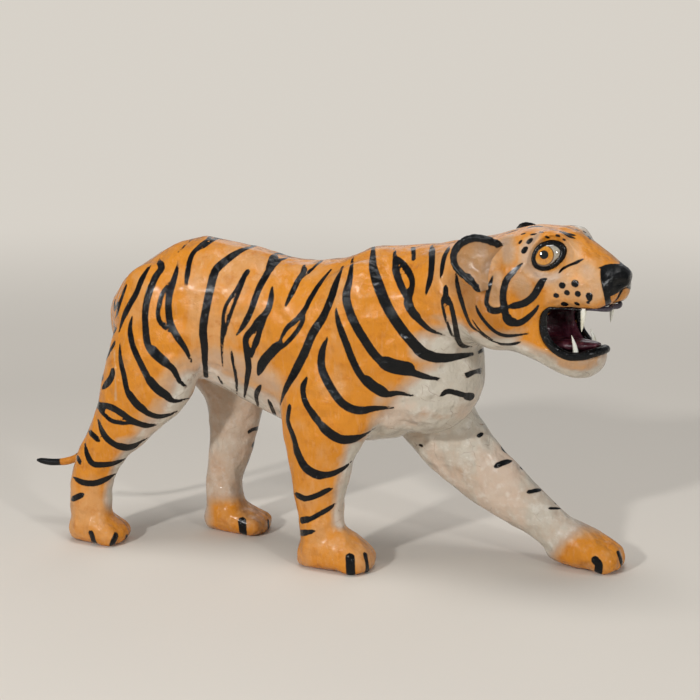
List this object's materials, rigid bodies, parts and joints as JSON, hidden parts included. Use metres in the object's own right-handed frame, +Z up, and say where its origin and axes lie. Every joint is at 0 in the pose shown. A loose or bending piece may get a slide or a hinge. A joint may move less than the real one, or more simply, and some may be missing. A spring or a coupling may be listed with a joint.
{
  "type": "leather toy tiger",
  "caption": "Walking, roaring tiger figure: leather over a moulded form, painted stripes, glass eyes, set-in ears, teeth and tongue.",
  "frame": {"origin": "on the floor, in the middle of the figure's length and width", "axes": "+X towards the head, +Y to the tiger's left, +Z up"},
  "size_m": [0.4665, 0.1115, 0.2539],
  "materials": {
    "orange_leather": "glossy lacquer over paint",
    "ear_leather": "glossy lacquer over paint",
    "amber_eye": "polished, opaque",
    "tooth": "gloss",
    "tongue": "gloss paint"
  },
  "bodies": {
    "root": {"body": "orange_leather", "tail": "orange_leather", "right_ear": "ear_leather", "left_ear": "ear_leather", "right_eye": "amber_eye", "left_eye": "amber_eye", "upper_right_canine": "tooth", "upper_left_canine": "tooth", "lower_right_canine": "tooth", "lower_left_canine": "tooth", "tongue": "tongue"}
  },
  "joints": []
}
